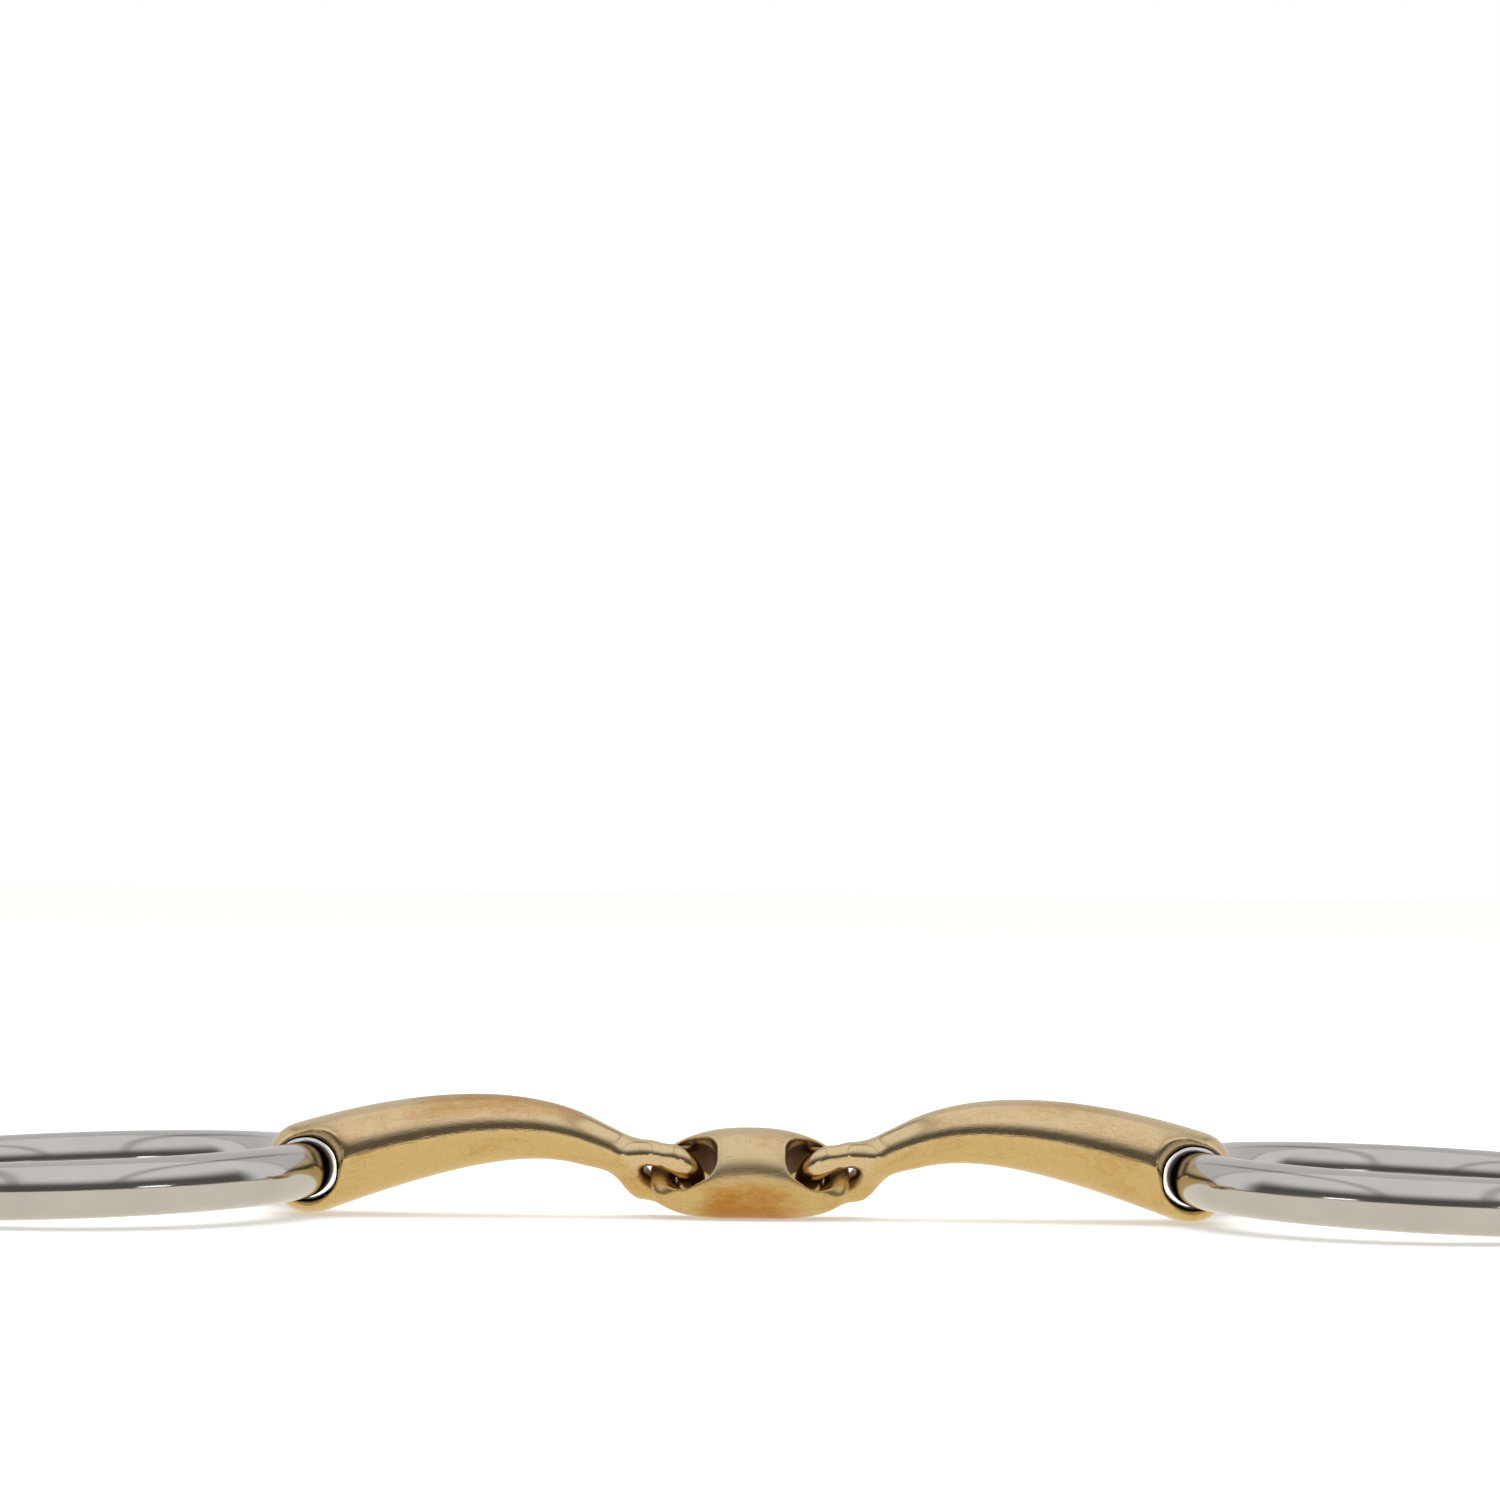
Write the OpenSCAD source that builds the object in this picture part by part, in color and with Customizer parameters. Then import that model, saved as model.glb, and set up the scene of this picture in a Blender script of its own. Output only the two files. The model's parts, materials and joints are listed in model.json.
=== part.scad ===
// Double-jointed loose-ring snaffle: a cast copper-alloy mouthpiece of two arched arms
// hooked into an angled centre link, with a welded steel ring running through each outer end.
// Millimetres, +X towards the right ring, +Y away from the viewer, +Z up.
// Origin: centre of the mouthpiece on the ground it lies on.

/* [Mouthpiece] */
// distance between the two ring bores, centre to centre
bore_spacing = 134; // [110:0.5:165]
// thickness of the arm where the ring passes through it
knob_d = 14.1; // [11:0.1:18]
// thickness of the arm at its slimmest, next to the eye
neck_d = 6.5; // [5:0.1:9]
// how steeply the arm climbs away from the ring bore, degrees
arch_angle = 18.8; // [10:0.2:28]
// how far that climb carries on before the arm turns over, as a share of its span
arch_reach = 0.85; // [0.6:0.01:0.95]
// how far the arm carries on from the eye before it turns upwards
eye_run = 8; // [5:0.5:10]
// how far it dips below the eye over that length
eye_dip = 0.7; // [0:0.1:3]
// metal left outside the ring bore at the end of the arm
end_wall = 1.8; // [1.2:0.1:3]

/* [Eyes] */
// thickness of the metal around each eye
eye_wire_d = 4.2; // [3:0.1:5.5]
// width of the opening in each eye
eye_hole_d = 5.4; // [5:0.1:8]
// slope of the eye along the arm, degrees
eye_slope = 22; // [0:1:35]
// roll of the eye about the arm, its upper side towards the viewer, degrees
eye_roll = 53; // [35:1:60]
// length over which the neck spreads out into the eye
eye_spread = 5; // [3:0.1:12]
// how far up the end bar of the link the eye hangs
eye_lift = -0.2; // [-1:0.1:1]

/* [Centre link] */
// length of the link, end to end
link_l = 30.2; // [26:0.2:40]
// width of the link across its middle
link_w = 13.7; // [12.6:0.1:18]
// thickness of the link through its middle
link_t = 13.6; // [7:0.1:15]
// thickness of the bar at each end of the link
link_bar_d = 3.9; // [3:0.1:4.6]
// metal between the two holes of the link
link_web = 10.4; // [8:0.2:13]
// lean of the link away from upright, degrees
link_lean = 42; // [30:1:55]
// extra height of each hole over its width
hole_stretch = 2; // [0.4:0.2:3]
// how far the holes sit below the middle of the link
hole_drop = 1; // [0:0.1:1.4]

/* [Rings] */
// diameter of the ring, measured along the middle of its wire
ring_d = 70; // [55:1:90]
// thickness of the ring wire
ring_wire_d = 8.6; // [6:0.1:9]

/* [Fits] */
// gap all round the ring wire where it runs through the arm
ring_play = 0.3; // [0.15:0.05:0.6]
// gap between an eye and the link bar it hangs on
eye_play = 0.3; // [0.15:0.05:0.6]
// rounding of the lip around each ring bore
bore_lip = 1.2; // [0.6:0.1:2]
// how far the mouth of each link hole stays inside the middle line of the eye's metal
mouth_inset = 1.3; // [0.8:0.1:1.6]

/* [Hidden] */

brass = [0.80, 0.69, 0.45];
steel = [0.76, 0.76, 0.74];

bar_r = link_bar_d / 2;
eye_wire_r = eye_wire_d / 2;
eye_r = eye_hole_d / 2 + eye_wire_r;
eye_outer_r = eye_r + eye_wire_r;
ring_wire_r = ring_wire_d / 2;
ring_r = ring_d / 2;
neck_r = neck_d / 2;
knob_r = knob_d / 2;

// superellipse exponents of the link: its outline above and below, its section at the middle,
// and its section above and below at the ends; the lower side is the fuller one
upper_outline_p = 2.2;
lower_outline_p = 5;
middle_p = 2.05;
upper_end_p = 2.2;
lower_end_p = 4;

// middle of each end bar, measured from the middle of the link
bar_x = link_l / 2 - bar_r;
hole_in = link_web / 2;
hole_out = link_l / 2 - link_bar_d;
hole_x = (hole_in + hole_out) / 2;
hole_r = (hole_out - hole_in) / 2;
// the hole opens out towards the end bar, so that the bar is round like a wire
mouth_r = eye_r - mouth_inset;
mouth_x = bar_x - mouth_r;

// height of the link's middle, its lower edge resting on the ground
function reach_down(x) = let (q = section_p(x, lower_end_p), s = q / (q - 1)) pow(
    pow(link_half_w(x, lower_outline_p) * cos(link_lean), s)
    + pow(link_half_t(x) * sin(link_lean), s), 1 / s);
link_z = max([for (i = [0:60]) reach_down(link_l / 2 * 0.99 * i / 60)]);

// middle of the right eye, hanging on the end bar with its play; the eye crosses the bar a
// little off square, so the play is measured along the line where they come closest
eye_skew = asin(sin(eye_slope) * cos(link_lean));
eye_shift = eye_r - (bar_r + eye_wire_r + eye_play) / cos(eye_skew);
eye_x = bar_x + eye_shift * cos(eye_slope);
eye_y = eye_lift * sin(link_lean);
eye_z = link_z + eye_shift * sin(eye_slope) + eye_lift * cos(link_lean);

// middle of the right ring bore, the rounded end of the arm resting on the ground
bore_x = bore_spacing / 2;
end_l = ring_wire_r + ring_play + end_wall;
bore_z = sqrt(pow(knob_r * cos(arch_angle), 2) + pow(end_l * sin(arch_angle), 2));

// the ring leans down from the bore until its far side rests on the ground
ring_lean = asin((bore_z - ring_wire_r) / ring_d);

// centreline of the right arm: a cubic curve from the eye to the bore
span = bore_x - eye_x;
climb = span * arch_reach;
arm_steps = 44;
arm_sides = 32;
curve_points = [
    [eye_x, eye_y, eye_z],
    [eye_x + eye_run, eye_y, eye_z - eye_dip],
    [bore_x - climb * cos(arch_angle), 0, bore_z + climb * sin(arch_angle)],
    [bore_x, 0, bore_z]
];
spread_end = eye_x + eye_r * 0.45 + eye_spread;

function smooth(t) = let (c = max(0, min(1, t))) c * c * (3 - 2 * c);
function mix(a, b, t) = a + (b - a) * t;

function curve(t) = pow(1 - t, 3) * curve_points[0] + 3 * t * pow(1 - t, 2) * curve_points[1]
    + 3 * t * t * (1 - t) * curve_points[2] + pow(t, 3) * curve_points[3];
function curve_run(t) = pow(1 - t, 2) * (curve_points[1] - curve_points[0])
    + 2 * t * (1 - t) * (curve_points[2] - curve_points[1])
    + t * t * (curve_points[3] - curve_points[2]);

// places one section of the arm: q runs across the eye's width, n through its thickness
function place(p, slope, q, n) = let (
    up = q * cos(eye_roll) + n * sin(eye_roll)
) p + [-up * sin(slope), n * cos(eye_roll) - q * sin(eye_roll), up * cos(slope)];

// half thickness of the eye, a flat round disc with a full round edge
function disc_half_t(d, q) = 0.985 * sqrt(max(0, eye_wire_r * eye_wire_r
    - pow(max(0, norm([d, q]) - eye_r), 2)));

tip_steps = 12;
function tip_section(a) = let (
    d = eye_outer_r * sin(a),
    w = eye_outer_r * cos(a)
) [for (k = [0:arm_sides - 1]) let (
    q = w * cos(360 * k / arm_sides),
    s = sign(sin(360 * k / arm_sides))
) place([eye_x - d * cos(eye_slope), eye_y, eye_z - d * sin(eye_slope)], eye_slope, q,
    s * disc_half_t(d, q))];

function arm_section(t) = let (
    p = curve(t),
    run = curve_run(t),
    slope = mix(eye_slope, atan2(run[2], run[0]), smooth((p[0] - eye_x) / (spread_end - eye_x))),
    out = max(0, (p[0] - spread_end) / (bore_x - spread_end)),
    r = mix(neck_r, knob_r, 0.6 * sin(90 * out) + 0.4 * out),
    flare = smooth((spread_end - p[0]) / eye_spread)
) [for (k = [0:arm_sides - 1]) let (
    c = cos(360 * k / arm_sides),
    s = sin(360 * k / arm_sides)
) place(p, slope, mix(r, eye_outer_r, flare) * c,
    mix(r * s, sign(s) * disc_half_t(0, eye_outer_r * c), flare))];

end_steps = 9;
function end_section(a) = [for (k = [0:arm_sides - 1]) place(
    [bore_x + end_l * sin(a) * cos(arch_angle), 0, bore_z - end_l * sin(a) * sin(arch_angle)],
    -arch_angle, knob_r * cos(a) * cos(360 * k / arm_sides), knob_r * cos(a) * sin(360 * k / arm_sides)
)];

// a closed skin over a run of sections that all have the same number of points
module skin(sections) {
    n = len(sections[0]);
    m = len(sections);
    polyhedron(
        points = [for (s = sections) each s],
        faces = concat(
            [[for (k = [0:n - 1]) k]],
            [for (i = [0:m - 2], k = [0:n - 1]) let (a = i * n + k, b = i * n + (k + 1) % n)
                each [[a, a + n, b], [b, a + n, b + n]]],
            [[for (k = [0:n - 1]) m * n - 1 - k]]
        )
    );
}

// ring bore: wide enough at every depth for the curved wire to swing round the whole circle
bore_half = knob_r + 0.4;
lip_start = sqrt(max(1, knob_r * knob_r - pow(ring_wire_r + ring_play + bore_lip, 2)));
function bore_radius(y) = let (
    e = min(bore_lip * 0.96, max(0, abs(y) - lip_start + bore_lip * 0.5))
) ring_r - sqrt(pow(ring_r - ring_wire_r, 2) - y * y) + ring_play
    + bore_lip - sqrt(bore_lip * bore_lip - e * e);
bore_steps = 24;

module ring_bore() {
    translate([bore_x, 0, bore_z])
    rotate([90, 0, 0])
    rotate_extrude($fn = 96)
    polygon(concat(
        [[0, -bore_half]],
        [for (i = [0:bore_steps]) let (y = bore_half * (2 * i / bore_steps - 1))
            [bore_radius(y), y]],
        [[0, bore_half]]
    ));
}

// puts a shape drawn flat about the origin into the plane of the right eye
module in_eye_plane() {
    translate([eye_x, eye_y, eye_z])
    rotate([0, -eye_slope, 0])
    rotate([eye_roll - 90, 0, 0])
    children();
}

module arm() {
    difference() {
        skin(concat(
            [for (i = [0:tip_steps - 1]) tip_section(88 * (1 - i / tip_steps))],
            [for (i = [0:arm_steps]) arm_section(i / arm_steps)],
            [for (i = [1:end_steps]) end_section(88 * i / end_steps)]
        ));
        in_eye_plane() rotate_extrude($fn = 64) difference() {
            translate([0, -eye_wire_r * 2]) square([eye_r, eye_wire_r * 4]);
            translate([eye_r, 0]) circle(eye_wire_r, $fn = 40);
        }
        ring_bore();
    }
}

link_steps = 30;
link_sides = 36;
function link_half_w(x, p) = link_w / 2 * pow(1 - pow(min(1, abs(2 * x / link_l)), p), 1 / p);
function link_half_t(x) = abs(x) > bar_x
    ? sqrt(max(0, bar_r * bar_r - pow(abs(x) - bar_x, 2)))
    : mix(link_t / 2, bar_r, pow(abs(x) / bar_x, 2.4));
function section_p(x, end_p) = mix(middle_p, end_p, pow(abs(2 * x / link_l), 2));
function signed_pow(v, p) = sign(v) * pow(abs(v), p);
function link_section(x) = [for (k = [0:link_sides - 1]) let (
    c = cos(360 * k / link_sides),
    s = sin(360 * k / link_sides),
    p = 2 / section_p(x, c > 0 ? upper_end_p : lower_end_p)
) [
    x,
    link_half_t(x) * signed_pow(s, p),
    link_half_w(x, c > 0 ? upper_outline_p : lower_outline_p) * signed_pow(c, p)
]];

// half profile of the hole at its mouth: the end bar's own round, then straight out of the metal
module mouth_profile() {
    difference() {
        translate([0, -link_t]) square([mouth_r, link_t * 2]);
        translate([mouth_r, 0]) circle(bar_r, $fn = 48);
    }
}

module link_hole() {
    lift = hole_stretch / 2;
    translate([0, 0, -hole_drop]) {
        for (s = [-1, 1]) {
            translate([hole_x, 0, s * lift]) rotate([90, 0, 0])
                cylinder(r = hole_r, h = link_t * 2, center = true, $fn = 64);
            translate([mouth_x, 0, s * lift]) rotate([90, 0, 0])
                rotate_extrude($fn = 64) mouth_profile();
        }
        translate([hole_x - hole_r, -link_t, -lift]) cube([hole_r * 2, link_t * 2, hole_stretch]);
        translate([mouth_x, 0, -lift]) linear_extrude(hole_stretch) mouth_profile();
    }
}

module centre_link() {
    color(brass)
    translate([0, 0, link_z])
    rotate([-link_lean, 0, 0])
    difference() {
        skin([for (i = [-link_steps / 2:link_steps / 2])
            link_section(link_l / 2 * 0.9995 * sin(180 * i / link_steps))]);
        link_hole();
        mirror([1, 0, 0]) link_hole();
    }
}

module right_arm() {
    color(brass) arm();
}

module left_arm() {
    color(brass) mirror([1, 0, 0]) arm();
}

module ring() {
    translate([bore_x, 0, bore_z])
    rotate([0, ring_lean, 0])
    translate([ring_r, 0, 0])
    rotate_extrude($fn = 128) translate([ring_r, 0]) circle(ring_wire_r, $fn = 48);
}

module right_ring() {
    color(steel) ring();
}

module left_ring() {
    color(steel) mirror([1, 0, 0]) ring();
}

centre_link();
left_arm();
right_arm();
left_ring();
right_ring();
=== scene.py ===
"""Looks of a double-jointed loose-ring snaffle bit.

A cast copper-alloy mouthpiece of two arched arms hooked into an oval centre link, with a
polished stainless ring running through the outer end of each arm. Lengths in the classes
are in millimetres; meshes are made in metres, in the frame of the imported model.
"""

import sys
import json
import logging
import math
from dataclasses import dataclass, field
from enum import Enum

import bmesh
import bpy
import numpy as np
from mathutils import Matrix, Vector


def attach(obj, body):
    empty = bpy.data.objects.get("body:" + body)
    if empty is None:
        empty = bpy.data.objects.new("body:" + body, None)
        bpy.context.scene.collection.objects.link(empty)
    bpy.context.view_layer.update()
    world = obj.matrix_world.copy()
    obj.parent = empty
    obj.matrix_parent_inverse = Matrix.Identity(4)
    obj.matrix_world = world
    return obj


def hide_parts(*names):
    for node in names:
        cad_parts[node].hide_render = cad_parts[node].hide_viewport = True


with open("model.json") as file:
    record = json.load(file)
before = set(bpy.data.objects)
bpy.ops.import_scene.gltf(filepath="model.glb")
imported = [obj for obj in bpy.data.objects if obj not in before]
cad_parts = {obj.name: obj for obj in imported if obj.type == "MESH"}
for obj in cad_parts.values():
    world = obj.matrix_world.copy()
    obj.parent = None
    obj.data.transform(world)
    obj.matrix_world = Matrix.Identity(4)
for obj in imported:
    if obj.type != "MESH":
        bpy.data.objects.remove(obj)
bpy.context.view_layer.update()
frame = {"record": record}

MM = 0.001
log = logging.getLogger("snaffle")


class Side(Enum):
    """Which half of the bit a piece belongs to."""

    LEFT = -1
    RIGHT = 1


def joint_place(name: str) -> np.ndarray:
    """Looks up where a joint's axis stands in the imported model.

    Args:
        name: the joint's name in the record.

    Returns:
        Its x, y and z in millimetres.
    """
    found = next(joint for joint in frame["record"]["behaviour"]["joints"] if joint["name"] == name)
    return np.array(found["pos_m"]) / MM


# ----------------------------------------------------------------------------- bench tools


def release_all() -> None:
    """Leaves edit mode and deselects every object."""
    if bpy.context.mode != "OBJECT":
        bpy.ops.object.mode_set(mode="OBJECT")
    bpy.ops.object.select_all(action="DESELECT")


def pick(*pieces: bpy.types.Object) -> None:
    """Selects the given pieces alone and makes the first of them active.

    Args:
        pieces: the objects to select.
    """
    release_all()
    for piece in pieces:
        piece.select_set(True)
    bpy.context.view_layer.objects.active = pieces[0]


def settle(piece: bpy.types.Object) -> None:
    """Moves a piece's place, turn and size into its mesh, so that its object sits at the origin.

    Args:
        piece: the object to settle.
    """
    pick(piece)
    bpy.ops.object.transform_apply(location=True, rotation=True, scale=True)


def apply_modifier(piece: bpy.types.Object, kind: str, **settings: object) -> None:
    """Adds one modifier to a piece and applies it at once.

    Args:
        piece: the object to work on.
        kind: Blender's name for the modifier's kind.
        settings: the modifier's properties, by name.
    """
    pick(piece)
    modifier = piece.modifiers.new(kind.lower(), kind)
    for name, value in settings.items():
        setattr(modifier, name, value)
    bpy.ops.object.modifier_apply(modifier=modifier.name)


def cut(piece: bpy.types.Object, cutter: bpy.types.Object) -> None:
    """Takes the cutter's shape out of a piece and throws the cutter away.

    Args:
        piece: the object that is cut.
        cutter: the closed solid to remove from it.
    """
    apply_modifier(piece, "BOOLEAN", operation="DIFFERENCE", object=cutter, solver="EXACT")
    bpy.data.objects.remove(cutter, do_unlink=True)


def melt(piece: bpy.types.Object, grain: float) -> None:
    """Melts a piece's surface into one even skin, as a casting is one piece.

    Args:
        piece: the closed solid.
        grain: width of the skin's faces in millimetres.
    """
    apply_modifier(piece, "REMESH", mode="VOXEL", voxel_size=grain * MM, adaptivity=0.0)


def rub(piece: bpy.types.Object, share: np.ndarray, times: int) -> None:
    """Rubs part of a piece's surface smooth.

    Args:
        piece: the object to rub.
        share: how strongly each vertex is rubbed, from 0 to 1.
        times: how many times the mop goes over it.
    """
    group = piece.vertex_groups.new(name="rubbed")
    for index in np.nonzero(share > 0.01)[0]:
        group.add([int(index)], float(share[index]), "REPLACE")
    apply_modifier(piece, "SMOOTH", factor=0.5, iterations=times, vertex_group="rubbed")
    piece.vertex_groups.clear()


def loft(name: str, sections: list[tuple[float, float]], sides: int = 96) -> bpy.types.Object:
    """Draws a closed body of round sections along Y, about the origin.

    A filled circle is set down at the first section, then extruded and resized to each of
    the next ones in edit mode.

    Args:
        name: name of the new object.
        sections: each section's place along the body and its radius, in millimetres.
        sides: how many sides each section has.

    Returns:
        The new body, with its faces outwards.
    """
    release_all()
    last_x, last_r = sections[0][0], 1.0
    bpy.ops.mesh.primitive_circle_add(
        vertices=sides, radius=MM, fill_type="NGON",
        location=(last_x * MM, 0, 0), rotation=(0, math.pi / 2, 0),
    )
    body = bpy.context.object
    body.name = name
    settle(body)
    bpy.ops.object.mode_set(mode="EDIT")
    bpy.ops.mesh.select_all(action="SELECT")
    for number, (x, r) in enumerate(sections):
        if number:
            step = ((x - last_x) * MM, 0, 0)
            bpy.ops.mesh.extrude_region_move(TRANSFORM_OT_translate={"value": step})
        bpy.ops.transform.resize(value=(1, r / last_r, r / last_r), center_override=(x * MM, 0, 0))
        last_x, last_r = x, r
    bpy.ops.mesh.select_all(action="SELECT")
    bpy.ops.mesh.normals_make_consistent(inside=False)
    release_all()
    body.rotation_euler = (0, 0, math.pi / 2)
    settle(body)
    return body


def skin(name: str, rings: np.ndarray) -> bpy.types.Object:
    """Draws a closed skin point by point, where the section changes its outline along the piece.

    Args:
        name: name of the new object.
        rings: a row of points, each x, y and z in millimetres, for every section in turn.

    Returns:
        The new body, with its faces outwards.
    """
    mesh = bpy.data.meshes.new(name)
    body = bpy.data.objects.new(name, mesh)
    bpy.context.collection.objects.link(body)
    count, sides = rings.shape[:2]
    draft = bmesh.new()
    rows = [[draft.verts.new(Vector(point) * MM) for point in ring] for ring in rings]
    for here, there in zip(rows, rows[1:]):
        for k in range(sides):
            after = (k + 1) % sides
            draft.faces.new((here[k], here[after], there[after], there[k]))
    draft.faces.new(rows[0])
    draft.faces.new(rows[count - 1])
    bmesh.ops.recalc_face_normals(draft, faces=draft.faces)
    draft.to_mesh(mesh)
    draft.free()
    return body


def signed_power(value: np.ndarray, power: float) -> np.ndarray:
    """Raises each value to a power and keeps its sign."""
    return np.sign(value) * np.abs(value) ** power


def stretch_apart(piece: bpy.types.Object, lift: float) -> None:
    """Moves the upper half of a piece up and the lower half down, which makes a circle a slot.

    Args:
        piece: a piece drawn about the origin, with its length across Z.
        lift: how far each half moves, in millimetres.
    """
    for sign in (1, -1):
        pick(piece)
        for vertex in piece.data.vertices:
            vertex.select = vertex.co.z * sign > 1e-6
        for edge in piece.data.edges:
            edge.select = False
        for face in piece.data.polygons:
            face.select = False
        bpy.ops.object.mode_set(mode="EDIT")
        bpy.ops.mesh.select_mode(type="VERT")
        bpy.ops.transform.translate(value=(0, 0, sign * lift * MM))
        bpy.ops.object.mode_set(mode="OBJECT")


def rod(name: str, radius: float, depth: float, sides: int = 96) -> bpy.types.Object:
    """Makes a cutting rod about the origin, along Y.

    Args:
        name: name of the new object.
        radius: the rod's radius in millimetres.
        depth: the rod's whole length in millimetres.
        sides: how many sides it has.

    Returns:
        The rod.
    """
    release_all()
    bpy.ops.mesh.primitive_cylinder_add(
        vertices=sides, radius=radius * MM, depth=depth * MM, rotation=(math.pi / 2, 0, math.pi / sides)
    )
    piece = bpy.context.object
    piece.name = name
    settle(piece)
    return piece


def hourglass(name: str, middle_r: float, wire_r: float, half_depth: float) -> bpy.types.Object:
    """Makes a cutter about the origin, along Y, whose waist leaves a rim as round as a wire.

    Args:
        name: name of the new object.
        middle_r: radius of the rim's middle line in millimetres.
        wire_r: radius of the rim's own round section.
        half_depth: how far the cutter reaches to each side.

    Returns:
        The cutter.
    """
    turns = [math.radians(180 * i / 28 - 90) for i in range(29)]
    waist = [(wire_r * math.sin(turn), middle_r - wire_r * math.cos(turn)) for turn in turns]
    return loft(name, [(-half_depth, middle_r), *waist, (half_depth, middle_r)])


def hoop(name: str, middle_r: float, wire_r: float, steps: int = 128, sides: int = 64) -> bpy.types.Object:
    """Makes a hoop of round wire about the origin, its axis along Y.

    Args:
        name: name of the new object.
        middle_r: radius of the wire's middle line in millimetres.
        wire_r: radius of the wire in millimetres.
        steps: how many sections the hoop has.
        sides: how many sides the wire has.

    Returns:
        The hoop.
    """
    release_all()
    bpy.ops.mesh.primitive_torus_add(
        major_segments=steps, minor_segments=sides, major_radius=middle_r * MM,
        minor_radius=wire_r * MM, rotation=(math.pi / 2, math.pi / steps, 0),
    )
    piece = bpy.context.object
    piece.name = name
    settle(piece)
    return piece


def smooth_step(value: np.ndarray | float, low: float, high: float) -> np.ndarray | float:
    """Rises softly from 0 at low to 1 at high.

    Args:
        value: where it is read.
        low: where it leaves 0.
        high: where it reaches 1.

    Returns:
        The share from 0 to 1.
    """
    share = np.clip((value - low) / (high - low), 0.0, 1.0)
    return share * share * (3 - 2 * share)


def hump(
    value: np.ndarray | float, rise: tuple[float, float], fall: tuple[float, float],
) -> np.ndarray | float:
    """Rises softly from 0 to 1 over one stretch and falls softly back over another.

    Args:
        value: where it is read.
        rise: where it leaves 0, and where it reaches 1.
        fall: where it leaves 1, and where it is back at 0.

    Returns:
        The share from 0 to 1.
    """
    return smooth_step(value, *rise) * (1 - smooth_step(value, *fall))


def vertices_mm(piece: bpy.types.Object) -> np.ndarray:
    """Reads a piece's vertices.

    Args:
        piece: the object to read.

    Returns:
        One row of x, y and z for each vertex, in millimetres.
    """
    flat = np.empty(len(piece.data.vertices) * 3, dtype=np.float32)
    piece.data.vertices.foreach_get("co", flat)
    return flat.reshape(-1, 3).astype(float) / MM


def write_attribute(piece: bpy.types.Object, name: str, values: np.ndarray) -> None:
    """Stores one number, or one vector, for each vertex, for the finish to read.

    Args:
        piece: the object that gets it.
        name: the attribute's name.
        values: one row for each vertex.
    """
    kind, key = ("FLOAT", "value") if values.ndim == 1 else ("FLOAT_VECTOR", "vector")
    made = piece.data.attributes.new(name, kind, "POINT")
    made.data.foreach_set(key, values.astype(np.float32).ravel())


def linear_colour(code: str) -> tuple[float, float, float, float]:
    """Turns an sRGB hex colour into Blender's linear one.

    Args:
        code: six hex digits.

    Returns:
        Red, green, blue and an alpha of 1.
    """
    parts = [int(code[i:i + 2], 16) / 255 for i in (0, 2, 4)]
    red, green, blue = (c / 12.92 if c <= 0.04045 else ((c + 0.055) / 1.055) ** 2.4 for c in parts)
    return red, green, blue, 1.0


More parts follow.
